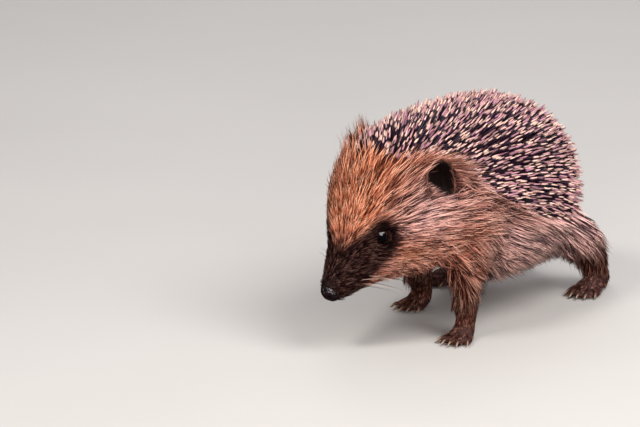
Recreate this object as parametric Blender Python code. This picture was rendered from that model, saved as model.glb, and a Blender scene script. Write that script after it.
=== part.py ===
"""A young European hedgehog, life size, walking nose down with its head turned a little to its right.

Metres, +Z up. The animal faces -Y and its left side is +X. The surfaces are the outline of the coat, out to
the tips of the spines and hairs. What a person would name apart is parted by thin gaps.
"""

import math

import bmesh
import bpy
import numpy as np
from mathutils import Matrix, Vector

MM = 0.001
GAP = 0.3 * MM  # between neighbouring pieces

# Trunk, measured over the coat.
TRUNK_MID_Y = 1.0 * MM
TRUNK_MID_Z = 40.0 * MM
TRUNK_REAR = 39.0 * MM  # from the middle of the trunk back to the rump
TRUNK_HALF_WIDTH = 29.0 * MM
TRUNK_RISE = 31.5 * MM
TRUNK_DROP = 30.5 * MM
RUMP_SINK = 9.0 * MM  # how much lower the rump's end lies than the middle
REAR_RINGS = 9
HEAD_ROWS = 8

# Head: a frame between the ears, turned and bowed from the trunk.
HEAD_AT = Vector((-2.0, -45.5, 49.6)) * MM
HEAD_TURN = math.radians(15.0)  # to the animal's right
HEAD_BOW = math.radians(35.5)

RING_POINTS = 30
LIMB_POINTS = 12
TOE_POINTS = 8
CLAW_POINTS = 6

SKIN_COLOURS = {
    "spines": (0.30, 0.20, 0.16, 1.0),
    "face_fur": (0.36, 0.17, 0.09, 1.0),
    "flank_fur": (0.40, 0.26, 0.20, 1.0),
    "muzzle": (0.06, 0.03, 0.025, 1.0),
    "ear": (0.07, 0.035, 0.025, 1.0),
    "leg_fur": (0.13, 0.06, 0.05, 1.0),
    "bare_foot": (0.16, 0.09, 0.08, 1.0),
    "wet_nose": (0.012, 0.010, 0.012, 1.0),
    "eye": (0.006, 0.005, 0.005, 1.0),
}
ROUGHNESS = {"wet_nose": 0.25, "eye": 0.05}


# ---------------------------------------------------------------- tools


def material(kind):
    """The Principled material of one kind of surface, made on first use."""
    found = bpy.data.materials.get(kind)
    if found:
        return found
    made = bpy.data.materials.new(kind)
    made.use_nodes = True
    shader = made.node_tree.nodes["Principled BSDF"]
    shader.inputs["Base Color"].default_value = SKIN_COLOURS[kind]
    shader.inputs["Roughness"].default_value = ROUGHNESS.get(kind, 0.8)
    return made


def add_node(name, bm, kind, collection=None):
    """A named object of the hedgehog from a bmesh, which is used up."""
    bmesh.ops.recalc_face_normals(bm, faces=bm.faces)
    mesh = bpy.data.meshes.new(name)
    bm.to_mesh(mesh)
    bm.free()
    mesh.shade_smooth()
    mesh.materials.append(material(kind))
    node = bpy.data.objects.new(name, mesh)
    (collection or HEDGEHOG).objects.link(node)
    return node


def paint(node, kind):
    """Gives the node another kind of surface."""
    node.data.materials.clear()
    node.data.materials.append(material(kind))


def settle(node):
    """Applies the node's modifiers."""
    bpy.context.view_layer.update()
    graph = bpy.context.evaluated_depsgraph_get()
    shaped = bpy.data.meshes.new_from_object(node.evaluated_get(graph))
    node.modifiers.clear()
    node.data = shaped
    bm = bmesh.new()
    bm.from_mesh(shaped)
    bmesh.ops.remove_doubles(bm, verts=bm.verts, dist=0.03 * MM)
    bmesh.ops.dissolve_degenerate(bm, dist=0.01 * MM, edges=bm.edges)
    bm.to_mesh(shaped)
    bm.free()


def boolean(node, operation, tool):
    """Cuts, joins or intersects the node with a tool, and removes the tool."""
    step = node.modifiers.new(operation, "BOOLEAN")
    step.operation = operation
    step.solver = "EXACT"
    step.object = tool
    settle(node)
    bpy.data.objects.remove(tool)


def copy_of(node, name, grow=0.0, collection=None):
    """A copy of the node, larger by grow all round."""
    twin = bpy.data.objects.new(name, node.data.copy())
    (collection or HEDGEHOG).objects.link(twin)
    bm = bmesh.new()
    bm.from_mesh(twin.data)
    bm.normal_update()
    moves = [v.normal * grow for v in bm.verts]
    for vert, move in zip(bm.verts, moves):
        vert.co += move
    bm.to_mesh(twin.data)
    bm.free()
    return twin


def trim(guest, *hosts):
    """Takes from the guest what lies inside its hosts, and the gap round them."""
    for host in hosts:
        boolean(guest, "DIFFERENCE", copy_of(host, "tool", GAP, CUTTERS))
    keep_largest(guest)


def keep_largest(node):
    """Leaves only the largest loose body, as a trimmed root can leave a crumb inside its host."""
    bm = bmesh.new()
    bm.from_mesh(node.data)
    left, bodies = set(bm.verts), []
    while left:
        body, reach = set(), [next(iter(left))]
        while reach:
            vert = reach.pop()
            if vert in body:
                continue
            body.add(vert)
            reach += [edge.other_vert(vert) for edge in vert.link_edges]
        left -= body
        bodies.append(body)
    bodies.sort(key=len)
    crumbs = [v for body in bodies[:-1] for v in body]
    bmesh.ops.delete(bm, geom=crumbs, context="VERTS")
    bm.to_mesh(node.data)
    bm.free()


def cut_plane(bm, at, normal):
    """Takes away what lies on the side that the normal points to, and closes the cut."""
    geometry = bm.verts[:] + bm.edges[:] + bm.faces[:]
    cut = bmesh.ops.bisect_plane(
        bm, geom=geometry, dist=0.02 * MM, plane_co=at, plane_no=normal, clear_outer=True
    )
    rim = [e for e in cut["geom_cut"] if isinstance(e, bmesh.types.BMEdge)]
    bmesh.ops.edgeloop_fill(bm, edges=rim)


def plane_cut(node, at, normal):
    """The node without what lies beyond a plane."""
    bm = bmesh.new()
    bm.from_mesh(node.data)
    cut_plane(bm, at, normal)
    bmesh.ops.recalc_face_normals(bm, faces=bm.faces)
    bm.to_mesh(node.data)
    bm.free()


def section(centre, side, up, half_width, rise, drop, square, count):
    """Points round one section: a superellipse whose top and bottom have their own heights."""
    points = []
    for k in range(count):
        angle = 2 * math.pi * (k + 0.5) / count
        across = math.copysign(abs(math.cos(angle)) ** (2 / square), math.cos(angle))
        high = math.copysign(abs(math.sin(angle)) ** (2 / square), math.sin(angle))
        height = rise if high > 0 else drop
        points.append(centre + side * (across * half_width) + up * (high * height))
    return points


def loft(rings):
    """A closed bmesh through rings of points, with a face over each end."""
    bm = bmesh.new()
    loops = []
    for ring in rings:
        verts = [bm.verts.new(point) for point in ring]
        loops.append([bm.edges.new((verts[k - 1], verts[k])) for k in range(len(verts))])
    for one, other in zip(loops, loops[1:]):
        bmesh.ops.bridge_loops(bm, edges=one + other)
    bmesh.ops.edgeloop_fill(bm, edges=loops[0])
    bmesh.ops.edgeloop_fill(bm, edges=loops[-1])
    bmesh.ops.recalc_face_normals(bm, faces=bm.faces)
    return bm


def smooth_through(rows, t):
    """The row at t of a Catmull-Rom curve through the rows."""
    last = len(rows) - 1
    k = min(int(t), last - 1)
    u = t - k
    before, start, end, after = (rows[min(max(k + d, 0), last)] for d in (-1, 0, 1, 2))
    return (
        start
        + 0.5 * u * (end - before)
        + u * u * (before - 2.5 * start + 2 * end - 0.5 * after)
        + u * u * u * (-0.5 * before + 1.5 * start - 1.5 * end + 0.5 * after)
    )


def limb(axis, count, rings_between=3, side=Vector((1, 0, 0))):
    """A closed bmesh round a bent axis. Each stop is its point, half-width and half-depth."""
    rows = [np.array([*at, wide, deep]) for at, wide, deep in axis]
    steps = (len(rows) - 1) * rings_between
    rings = []
    for s in range(steps + 1):
        t = s / rings_between
        row = smooth_through(rows, t)
        ahead = smooth_through(rows, min(t + 0.05, len(rows) - 1))
        behind = smooth_through(rows, max(t - 0.05, 0))
        along = Vector((ahead - behind)[:3]).normalized()
        up = along.cross(side).normalized()
        across = up.cross(along).normalized()
        rings.append(section(Vector(row[:3]), across, up, row[3], row[4], row[4], 2.0, count))
    return loft(rings)


def ellipsoid(centre, radii, turn=Matrix.Identity(3), rings=8, count=14):
    """A bmesh of a ball stretched to three radii."""
    bm = bmesh.new()
    shape = Matrix.Translation(centre) @ (turn @ Matrix.Diagonal(radii)).to_4x4()
    bmesh.ops.create_uvsphere(bm, u_segments=count, v_segments=rings, radius=1.0, matrix=shape)
    return bm


def tool_from(bm):
    """A cutter from a bmesh."""
    tool = add_node("tool", bm, "spines", CUTTERS)
    tool.hide_render = True
    tool.display_type = "WIRE"
    return tool


def wedge(outline, right, out, up, origin, half_width):
    """A prism on an outline in the plane of out and up, as wide as half_width on each side."""
    rings = [
        [origin + right * side + out * a + up * b for a, b in outline] for side in (-half_width, half_width)
    ]
    return loft(rings)


# ---------------------------------------------------------------- head frame

TURN = Matrix.Rotation(-HEAD_TURN, 3, "Z")
LEVEL_AHEAD = TURN @ Vector((0, -1, 0))
HEAD_SIDE = TURN @ Vector((1, 0, 0))  # to the animal's left
HEAD_AHEAD = LEVEL_AHEAD * math.cos(HEAD_BOW) - Vector((0, 0, 1)) * math.sin(HEAD_BOW)
HEAD_UP = HEAD_SIDE.cross(HEAD_AHEAD) * -1
HEAD_AXES = Matrix((HEAD_SIDE, HEAD_AHEAD, HEAD_UP)).transposed()


def on_head(ahead, side, up):
    """A place in the head's frame, in millimetres."""
    return HEAD_AT + (HEAD_AHEAD * ahead + HEAD_SIDE * side + HEAD_UP * up) * MM


def trunk_station(x, y, z, half_width, rise, drop, square, lean=0.0, turn=0.0):
    """A row of numbers for one section of the trunk, leaning ahead and turned to the right by degrees."""
    round_up = Matrix.Rotation(-math.radians(turn), 3, "Z")
    up = round_up @ Vector((0, -math.sin(math.radians(lean)), math.cos(math.radians(lean))))
    side = round_up @ Vector((1, 0, 0))
    return np.array([x, y, z, *side, *up, half_width, rise, drop, square])


def head_station(ahead, centre_up, half_width, rise, drop, square=2.1):
    """A row of numbers for one section of the head, in millimetres."""
    sizes = np.array([half_width, rise, drop]) * MM
    return np.array([*on_head(ahead, 0, centre_up), *HEAD_SIDE, *HEAD_UP, *sizes, square])


def body_stations():
    """Sections from the rump to the nose."""
    rows = []
    for k in range(REAR_RINGS):
        angle = math.radians(86) * (1 - k / REAR_RINGS)
        share = math.cos(angle) ** 1.05
        y = TRUNK_MID_Y + TRUNK_REAR * math.sin(angle)
        z = TRUNK_MID_Z - RUMP_SINK * math.sin(angle) ** 2
        sizes = (TRUNK_HALF_WIDTH * share, TRUNK_RISE * share, TRUNK_DROP * share)
        rows.append(trunk_station(0, y, z, *sizes, 2.15))
    rows += [
        trunk_station(0, TRUNK_MID_Y, TRUNK_MID_Z, TRUNK_HALF_WIDTH, TRUNK_RISE, TRUNK_DROP, 2.15),
        trunk_station(-0.7 * MM, -13 * MM, 41.6 * MM, 28.4 * MM, 31.5 * MM, 30.0 * MM, 2.15, 6, 3),
        trunk_station(-2.2 * MM, -28 * MM, 44.6 * MM, 26.3 * MM, 29.2 * MM, 28.5 * MM, 2.1, 19, 8),
    ]
    rows += [
        head_station(-4, -4.5, 24.5, 26.0, 23.0),
        head_station(6, -4.5, 24.0, 25.0, 21.5),
        head_station(15, -4.0, 21.0, 21.5, 18.8),
        head_station(23, -3.2, 16.2, 16.5, 14.8),
        head_station(30, -3.2, 10.8, 11.0, 10.6),
        head_station(36.5, -4.0, 7.3, 7.6, 7.2),
        head_station(42, -4.4, 4.9, 5.0, 5.0),
        head_station(45, -4.6, 3.2, 3.2, 3.4),
    ]
    return rows


def body_rings():
    """Rings of the whole body, closer together at the head."""
    rows = body_stations()
    head_start = len(rows) - HEAD_ROWS
    stops = [k / 2 for k in range(head_start * 2)]
    stops += [head_start + k / 2 for k in range((HEAD_ROWS - 1) * 2 + 1)]
    rings = []
    for t in stops:
        row = smooth_through(rows, t)
        side, up = Vector(row[3:6]).normalized(), Vector(row[6:9]).normalized()
        rings.append(section(Vector(row[:3]), side, up, *row[9:13], RING_POINTS))
    return rings


# ---------------------------------------------------------------- start

for leftover in list(bpy.data.objects):
    bpy.data.objects.remove(leftover)
HEDGEHOG = bpy.data.collections.new("hedgehog")
CUTTERS = bpy.data.collections.new("cutters")
bpy.context.scene.collection.children.link(HEDGEHOG)
bpy.context.scene.collection.children.link(CUTTERS)


# ---------------------------------------------------------------- head, mantle, neck and trunk

whole = add_node("whole", loft(body_rings()), "spines")  # the uncut body, to seat the legs against
mantle = copy_of(whole, "mantle")

# The head's back edge in its own frame, ahead and up: over the crown, behind the ear, under the jaw.
HEAD_EDGE = [(4, 50), (2, 21), (-5, 12), (-7.5, 2), (-7, -8), (-3, -17), (8, -25), (18, -50)]


def head_side(shift):
    """A block that holds all ahead of the head's back edge, moved ahead by shift."""
    line = [(ahead * MM + shift, up * MM) for ahead, up in HEAD_EDGE]
    outline = line + [(90 * MM, -50 * MM), (90 * MM, 50 * MM)]
    return tool_from(wedge(outline, HEAD_SIDE, HEAD_AHEAD, HEAD_UP, HEAD_AT, 50 * MM))


head = copy_of(mantle, "head")
boolean(head, "INTERSECT", head_side(GAP / 2))
boolean(mantle, "DIFFERENCE", head_side(-GAP / 2))
keep_largest(head)
keep_largest(mantle)
paint(head, "face_fur")

# The edge of the spines, seen from the side: behind the ear, down the flank and low round the rump.
SPINE_EDGE = [(-70, 66), (-52, 55), (-36, 45), (-20, 37), (0, 27), (20, 22), (50, 20)]


def spine_side(shift):
    """A block that holds all above the edge of the spines, moved up by shift."""
    line = [(y * MM, z * MM + shift) for y, z in SPINE_EDGE]
    outline = line + [(60 * MM, 20 * MM), (60 * MM, 90 * MM), (-90 * MM, 90 * MM), (-90 * MM, 66 * MM)]
    return tool_from(
        wedge(outline, Vector((1, 0, 0)), Vector((0, 1, 0)), Vector((0, 0, 1)), Vector(), 50 * MM)
    )


trunk = copy_of(mantle, "trunk")
boolean(mantle, "INTERSECT", spine_side(GAP / 2))
boolean(trunk, "DIFFERENCE", spine_side(-GAP / 2))
keep_largest(mantle)
keep_largest(trunk)
paint(trunk, "flank_fur")

neck = copy_of(trunk, "neck")
NECK_CUT = Vector((0, -28 * MM, 30 * MM))
NECK_TILT = Vector((0, -math.cos(math.radians(8)), -math.sin(math.radians(8))))
plane_cut(neck, NECK_CUT + NECK_TILT * GAP / 2, -NECK_TILT)
plane_cut(trunk, NECK_CUT - NECK_TILT * GAP / 2, NECK_TILT)


# ---------------------------------------------------------------- snout and jaw

JAW_OUTLINE = [(12, -34), (14, -15), (20, -12.5), (32, -9.0), (44, -8.4), (60, -7.5), (60, -34)]


def jaw_block(shrink):
    """A prism that holds the lower jaw, smaller by shrink."""
    middle = Vector((34, -22))
    outline = []
    for ahead, up in JAW_OUTLINE:
        corner = Vector((ahead, up))
        corner += (middle - corner).normalized() * (shrink / MM)
        outline.append((corner.x * MM, corner.y * MM))
    return tool_from(wedge(outline, HEAD_SIDE, HEAD_AHEAD, HEAD_UP, HEAD_AT, 40 * MM))


lower_jaw = copy_of(head, "lower_jaw")
boolean(lower_jaw, "INTERSECT", jaw_block(GAP))
boolean(head, "DIFFERENCE", jaw_block(0))

snout = copy_of(head, "snout")
plane_cut(snout, on_head(31, 0, 0) + HEAD_AHEAD * GAP / 2, -HEAD_AHEAD)
plane_cut(head, on_head(31, 0, 0) - HEAD_AHEAD * GAP / 2, HEAD_AHEAD)
paint(snout, "muzzle")
paint(lower_jaw, "muzzle")


# ---------------------------------------------------------------- nose, eyes and ears

NOSE_RADII = Vector((3.05, 2.5, 2.6)) * MM
nose = add_node("nose", ellipsoid(on_head(44.0, 0, -4.2), NOSE_RADII, HEAD_AXES, 6, 12), "wet_nose")
trim(snout, nose)

CHEEK_SLOPE = math.radians(32)  # how fast the face narrows beside the eye
for side, label in ((1, "left"), (-1, "right")):
    ball = ellipsoid(on_head(23.8, 11.0 * side, 3.5), Vector((2.15, 2.15, 2.15)) * MM, HEAD_AXES, 8, 12)
    eye = add_node("eye_" + label, ball, "eye")
    out = HEAD_SIDE * (side * math.cos(CHEEK_SLOPE)) + HEAD_AHEAD * math.sin(CHEEK_SLOPE)
    along = HEAD_AHEAD * math.cos(CHEEK_SLOPE) - HEAD_SIDE * (side * math.sin(CHEEK_SLOPE))
    pit_axes = Matrix((along, out, along.cross(out))).transposed()
    pit = ellipsoid(on_head(25.0, 14.8 * side, 3.5), Vector((6.0, 3.2, 4.4)) * MM, pit_axes, 7, 12)
    boolean(head, "DIFFERENCE", tool_from(pit))
    trim(head, eye)


def ear_axes(side):
    """The ear's own frame: across its opening, the way it opens, and up to its tip."""
    opens = (HEAD_AHEAD * 0.60 + HEAD_SIDE * (0.78 * side) + HEAD_UP * 0.05).normalized()
    tip = HEAD_UP * 0.93 + HEAD_SIDE * (0.25 * side) - HEAD_AHEAD * 0.30
    tip = (tip - opens * tip.dot(opens)).normalized()
    return Matrix((opens.cross(tip), opens, tip)).transposed()


for side, label in ((1, "left"), (-1, "right")):
    axes = ear_axes(side)
    centre = on_head(-0.4, 19.6 * side, 7.0)
    ear = add_node("ear_" + label, ellipsoid(centre, Vector((4.4, 2.6, 6.9)) * MM, axes, 8, 14), "ear")
    opening = centre + axes @ Vector((0, 2.2, 0.4)) * MM
    boolean(ear, "DIFFERENCE", tool_from(ellipsoid(opening, Vector((3.6, 2.9, 5.9)) * MM, axes, 8, 14)))
    hollow = centre + axes @ Vector((0, 4.4, 0.3)) * MM
    for host in (head, mantle):
        block = ellipsoid(hollow, Vector((4.6, 4.8, 6.9)) * MM, axes, 7, 12)
        boolean(host, "DIFFERENCE", tool_from(block))
        trim(host, ear)


# ---------------------------------------------------------------- legs and feet


TOES = 5
TOE_TIP_HIGH = 1.25 * MM
CLAW_LENGTH = 3.9 * MM
CLAW_RADIUS = 0.62 * MM
CLAW_TIP_RADIUS = 0.26 * MM
CLAW_TIP_HIGH = 0.45 * MM  # the claws end just above the floor


def claw(at, heading):
    """A short claw that curves down from the end of a toe."""
    tip = at + heading * CLAW_LENGTH
    tip.z = CLAW_TIP_HIGH
    middle = at.lerp(tip, 0.5) + Vector((0, 0, 0.6)) * MM
    radii = (CLAW_RADIUS, CLAW_RADIUS * 0.8, CLAW_TIP_RADIUS)
    axis = [(point, radius, radius) for point, radius in zip((at, middle, tip), radii)]
    return limb(axis, CLAW_POINTS, 1, heading.cross(Vector((0, 0, 1))))


def foot(label, heel, turn, length, width, toe_length):
    """A foot with five clawed toes, flat below, turned to the right by an angle."""
    ahead = Matrix.Rotation(-turn, 3, "Z") @ Vector((0, -1, 0))
    across = Vector((-ahead.y, ahead.x, 0))

    def place(along, beside, high):
        return heel + ahead * along + across * beside + Vector((0, 0, high))

    palm_length = length - toe_length
    palm = [
        (place(0, 0, width * 0.30), width * 0.26, width * 0.28),
        (place(palm_length * 0.3, 0, width * 0.30), width * 0.36, width * 0.34),
        (place(palm_length * 0.75, 0, width * 0.22), width * 0.46, width * 0.27),
        (place(palm_length * 1.05, 0, width * 0.18), width * 0.40, width * 0.20),
    ]
    node = add_node(label + "_foot", limb(palm, LIMB_POINTS, 2, across), "bare_foot")
    thick = toe_length * 0.26
    for k in range(TOES):
        spread = 2 * k / (TOES - 1) - 1
        reach = length - spread * spread * toe_length * 0.55
        root = place(palm_length * 0.72, spread * width * 0.30, width * 0.17)
        end = place(reach, spread * width * 0.50, TOE_TIP_HIGH)
        toe = [(root, thick, thick), (root.lerp(end, 0.55), thick, thick), (end, thick * 0.72, thick * 0.75)]
        boolean(node, "UNION", tool_from(limb(toe, TOE_POINTS, 1, across)))
        heading = Vector((end.x - root.x, end.y - root.y, 0)).normalized()
        boolean(node, "UNION", tool_from(claw(end - heading * MM, heading)))
    boolean(node, "DIFFERENCE", tool_from(block_below(heel, 60 * MM)))
    return node


def block_below(at, half_size):
    """A square block whose top is the floor."""
    bm = bmesh.new()
    middle = Vector((at.x, at.y, -half_size))
    shape = Matrix.Translation(middle) @ Matrix.Scale(2 * half_size, 4)
    bmesh.ops.create_cube(bm, size=1.0, matrix=shape)
    return bm


def leg(label, stops, parts, hosts, sole):
    """A leg down to its foot, parted at its bend. A stop is x, y, z, half-width and half-depth in mm."""
    axis = [(Vector(row[:3]) * MM, row[3] * MM, row[4] * MM) for row in stops]
    upper = add_node(f"{label}_{parts[0]}", limb(axis, LIMB_POINTS, 2), "leg_fur")
    trim(upper, *hosts)
    lower = copy_of(upper, f"{label}_{parts[1]}")
    bend = len(axis) // 2
    down = (axis[bend + 1][0] - axis[bend - 1][0]).normalized()
    plane_cut(upper, axis[bend][0] - down * GAP / 2, down)
    plane_cut(lower, axis[bend][0] + down * GAP / 2, -down)
    trim(lower, sole)
    return upper, lower


FORE_PARTS = ("upper_arm", "forearm")
HIND_PARTS = ("thigh", "shank")

SHORT_FOOT = (12.5 * MM, 9.0 * MM, 5.0 * MM)
LONG_FOOT = (22.0 * MM, 9.5 * MM, 5.5 * MM)

sole = foot("fore_left", Vector((16.4, -38.0, 0)) * MM, math.radians(-6), *SHORT_FOOT)
stops = [(14, -33, 33, 6.0, 6.6), (14.2, -36, 24, 5.4, 6.0), (14.8, -38, 16, 4.5, 4.8)]
stops += [(15.8, -38.5, 9, 3.6, 3.9), (16.4, -39.5, 2.6, 2.9, 3.0)]
leg("fore_left", stops, FORE_PARTS, (whole,), sole)

sole = foot("fore_right", Vector((-15.0, -13.0, 0)) * MM, math.radians(4), *SHORT_FOOT)
stops = [(-14.5, -26, 33, 6.0, 6.6), (-14.7, -23, 24, 5.4, 6.0), (-15, -19.5, 16, 4.5, 4.8)]
stops += [(-15, -16, 9, 3.6, 3.9), (-15, -14.5, 2.6, 2.9, 3.0)]
leg("fore_right", stops, FORE_PARTS, (whole,), sole)

sole = foot("hind_left", Vector((21.5, 41.0, 0)) * MM, math.radians(-8), *LONG_FOOT)
stops = [(14.5, 22, 24, 6.0, 7.4), (17.6, 29, 18.5, 6.2, 7.0), (20.2, 33.8, 13, 5.2, 5.8)]
stops += [(21.4, 36.3, 8, 3.7, 4.0), (21.5, 38.6, 3.4, 2.8, 2.9)]
leg("hind_left", stops, HIND_PARTS, (whole,), sole)

sole = foot("hind_right", Vector((-21.5, 26.0, 0)) * MM, math.radians(10), *LONG_FOOT)
stops = [(-15, 12, 26, 6.0, 8.0), (-18.5, 14, 19.5, 6.2, 7.6), (-20.6, 18, 14, 5.2, 6.0)]
stops += [(-21.4, 21.5, 8, 3.7, 4.0), (-21.5, 23.6, 3.4, 2.8, 2.9)]
leg("hind_right", stops, HIND_PARTS, (whole,), sole)


# ---------------------------------------------------------------- tail

stops = [(0, 29, 17, 3.0, 3.0), (0.3, 34, 14.5, 2.7, 2.7)]
stops += [(0.8, 38, 10.5, 2.1, 2.1), (1.2, 39.5, 6.5, 0.9, 0.9)]
axis = [(Vector(row[:3]) * MM, row[3] * MM, row[4] * MM) for row in stops]
tail = add_node("tail", limb(axis, LIMB_POINTS, 2), "leg_fur")
trim(tail, whole)
bpy.data.objects.remove(whole)


# ---------------------------------------------------------------- place on the floor

bpy.context.view_layer.update()
corners = np.array([v.co for node in HEDGEHOG.objects for v in node.data.vertices])
low, high = corners.min(0), corners.max(0)
base = Vector(((low[0] + high[0]) / 2, (low[1] + high[1]) / 2, low[2]))
for node in HEDGEHOG.objects:
    points = np.array([v.co for v in node.data.vertices])
    middle = Vector((points.min(0) + points.max(0)) / 2)
    node.data.transform(Matrix.Translation(-middle))
    node.location = middle - base
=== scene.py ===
import math

import bmesh
import bpy
import numpy as np
from mathutils import Matrix, Vector, noise
from mathutils.bvhtree import BVHTree
from mathutils.kdtree import KDTree


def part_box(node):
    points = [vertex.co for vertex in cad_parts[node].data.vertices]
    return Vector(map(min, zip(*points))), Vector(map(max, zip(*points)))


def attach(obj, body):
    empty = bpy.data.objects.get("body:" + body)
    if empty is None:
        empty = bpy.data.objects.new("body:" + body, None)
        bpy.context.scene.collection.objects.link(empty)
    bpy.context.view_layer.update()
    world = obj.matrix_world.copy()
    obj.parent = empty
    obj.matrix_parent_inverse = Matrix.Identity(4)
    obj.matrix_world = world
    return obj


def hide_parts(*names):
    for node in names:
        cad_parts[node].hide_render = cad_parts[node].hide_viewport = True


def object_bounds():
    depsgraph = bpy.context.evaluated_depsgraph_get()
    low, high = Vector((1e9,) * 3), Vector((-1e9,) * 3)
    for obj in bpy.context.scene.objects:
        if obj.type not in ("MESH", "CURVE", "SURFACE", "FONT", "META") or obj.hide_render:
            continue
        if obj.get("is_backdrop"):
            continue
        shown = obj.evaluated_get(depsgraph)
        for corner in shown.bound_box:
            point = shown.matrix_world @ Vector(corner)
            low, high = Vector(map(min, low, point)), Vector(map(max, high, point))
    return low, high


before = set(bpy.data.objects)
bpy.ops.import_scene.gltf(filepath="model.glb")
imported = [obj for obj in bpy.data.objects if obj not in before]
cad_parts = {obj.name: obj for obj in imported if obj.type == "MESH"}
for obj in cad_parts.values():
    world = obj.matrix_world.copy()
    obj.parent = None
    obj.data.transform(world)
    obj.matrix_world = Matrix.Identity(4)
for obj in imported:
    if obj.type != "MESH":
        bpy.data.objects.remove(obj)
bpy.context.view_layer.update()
rng = np.random.default_rng(11)
MM = 0.001


# ======================================================================== studio
# A plain pale table top under soft lamps, seen from low down, ahead of the
# animal's left shoulder, with a long lens.
AIM = Vector((-49.44, -3.92, 28.0)) * MM
VIEW_TURN, VIEW_RISE = math.radians(33), math.radians(15)
VIEW_BACK = Vector((
    math.sin(VIEW_TURN) * math.cos(VIEW_RISE),
    -math.cos(VIEW_TURN) * math.cos(VIEW_RISE),
    math.sin(VIEW_RISE),
))
VIEW_RIGHT = Vector((math.cos(VIEW_TURN), math.sin(VIEW_TURN), 0))


def linear(red, green, blue):
    """A colour given as 0-255 screen values, as linear light."""
    return tuple(((c / 255 + 0.055) / 1.055) ** 2.4 if c > 10 else c / 3294 for c in (red, green, blue))


class Wire:
    """A socket of a finish. Sums on wires become Math nodes."""

    def __init__(self, finish, socket):
        self.finish, self.socket = finish, socket

    def math(self, operation, first, second):
        return self.finish.node("ShaderNodeMath", {"operation": operation}, {0: first, 1: second})

    def __add__(self, other):
        return self.math("ADD", self, other)

    def __sub__(self, other):
        return self.math("SUBTRACT", self, other)

    def __rsub__(self, other):
        return self.math("SUBTRACT", other, self)

    def __mul__(self, other):
        return self.math("MULTIPLY", self, other)

    __radd__, __rmul__ = __add__, __mul__

    def ramp(self, low, high):
        """Goes smoothly from 0 to 1 as the wire goes from low to high."""
        settings = {"interpolation_type": "SMOOTHSTEP"}
        return self.finish.node("ShaderNodeMapRange", settings, {0: self, 1: low, 2: high})


class Finish:
    """A material built node by node on one Principled shader."""

    def __init__(self, name, **constants):
        self.material = bpy.data.materials.new(name)
        self.material.use_nodes = True
        self.tree = self.material.node_tree
        self.shader = self.tree.nodes["Principled BSDF"]
        for socket, value in constants.items():
            self.shader.inputs[socket.replace("_", " ")].default_value = value

    def node(self, kind, settings, inputs, output=0):
        """Adds a node: its settings first, then the values or wires of its sockets."""
        node = self.tree.nodes.new(kind)
        for key, value in settings.items():
            setattr(node, key, value)
        for socket, value in inputs.items():
            if isinstance(value, Wire):
                self.tree.links.new(value.socket, node.inputs[socket])
            else:
                node.inputs[socket].default_value = value
        return Wire(self, node.outputs[output])

    def attribute(self, name):
        return self.node("ShaderNodeAttribute", {"attribute_name": name}, {}, "Fac")

    def mix(self, first, second, factor, blend="MIX"):
        first, second = [(*c, 1) if isinstance(c, tuple) and len(c) == 3 else c for c in (first, second)]
        settings = {"data_type": "RGBA", "blend_type": blend}
        return self.node("ShaderNodeMix", settings, {0: factor, 6: first, 7: second}, 2)

    def places(self):
        """The surface's own places, in metres."""
        return self.node("ShaderNodeTexCoord", {}, {}, "Object")

    def noise(self, scale, detail=2.0):
        inputs = {"Vector": self.places(), "Scale": scale, "Detail": detail}
        return self.node("ShaderNodeTexNoise", {}, inputs)

    def feed(self, socket, wire):
        self.tree.links.new(wire.socket, self.shader.inputs[socket])

    def bump(self, height, distance, strength=1.0):
        inputs = {"Strength": strength, "Distance": distance, "Height": height}
        self.feed("Normal", self.node("ShaderNodeBump", {}, inputs))


def piece_from(bm, name, finish):
    """Turns a bmesh into a piece of the scene with one finish."""
    mesh = bpy.data.meshes.new(name)
    bm.to_mesh(mesh)
    bm.free()
    for polygon in mesh.polygons:
        polygon.use_smooth = True
    piece = bpy.data.objects.new(name, mesh)
    bpy.context.scene.collection.objects.link(piece)
    mesh.materials.append(finish.material)
    return piece


table = Finish("pale_table", Roughness=0.75)
table.feed("Base Color", table.mix(linear(190, 187, 182), linear(198, 195, 190), table.noise(9.0)))
bm = bmesh.new()
bmesh.ops.create_grid(bm, x_segments=1, y_segments=1, size=6.0)
table_top = piece_from(bm, "table_top", table)
table_top.visible_glossy = False  # the wet parts mirror only the lamps and the room
table_top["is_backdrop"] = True


def lamp(name, at, size, watts, colour, glints=True):
    """A soft round lamp that faces the animal, and may show in its wet parts."""
    light = bpy.data.lights.new(name, "AREA")
    light.shape = "DISK"
    light.size, light.energy, light.color = size, watts, colour
    holder = bpy.data.objects.new(name, light)
    bpy.context.scene.collection.objects.link(holder)
    holder.location = at
    holder.visible_glossy = glints
    holder.rotation_euler = (Vector((0, 0, 0.03)) - at).to_track_quat("-Z", "Y").to_euler()
    return holder


up = Vector((0, 0, 1))
lamp("key", VIEW_BACK * 0.45 - VIEW_RIGHT * 0.42 + up * 0.62, 0.24, 3.8, (1.0, 0.965, 0.92))
lamp("fill", VIEW_BACK * 0.75 + VIEW_RIGHT * 0.7 + up * 0.25, 0.6, 2.1, (0.95, 0.95, 1.0), glints=False)
lamp("sky", up * 0.9 - VIEW_BACK * 0.35, 0.8, 1.3, (0.93, 0.93, 1.0), glints=False)
lamp("low", VIEW_BACK * 0.8 + VIEW_RIGHT * 0.05 + up * 0.04, 0.5, 4.4, (1.0, 0.96, 0.94), glints=False)
lamp("rear", -VIEW_BACK * 0.7 + up * 0.75, 0.5, 1.5, (0.97, 0.94, 1.0), glints=False)
lamp("window", VIEW_BACK * 0.33 + VIEW_RIGHT * 0.38 + up * 0.62, 0.55, 5.3, (1.0, 0.98, 0.98))
wet = bpy.data.collections.new("wet_parts")  # the eyes and nose, which alone catch the card
card = lamp("card", VIEW_BACK * 0.8 - VIEW_RIGHT * 0.06 + up * 0.42, 0.95, 16.0, (0.98, 0.96, 1.0))
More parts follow.
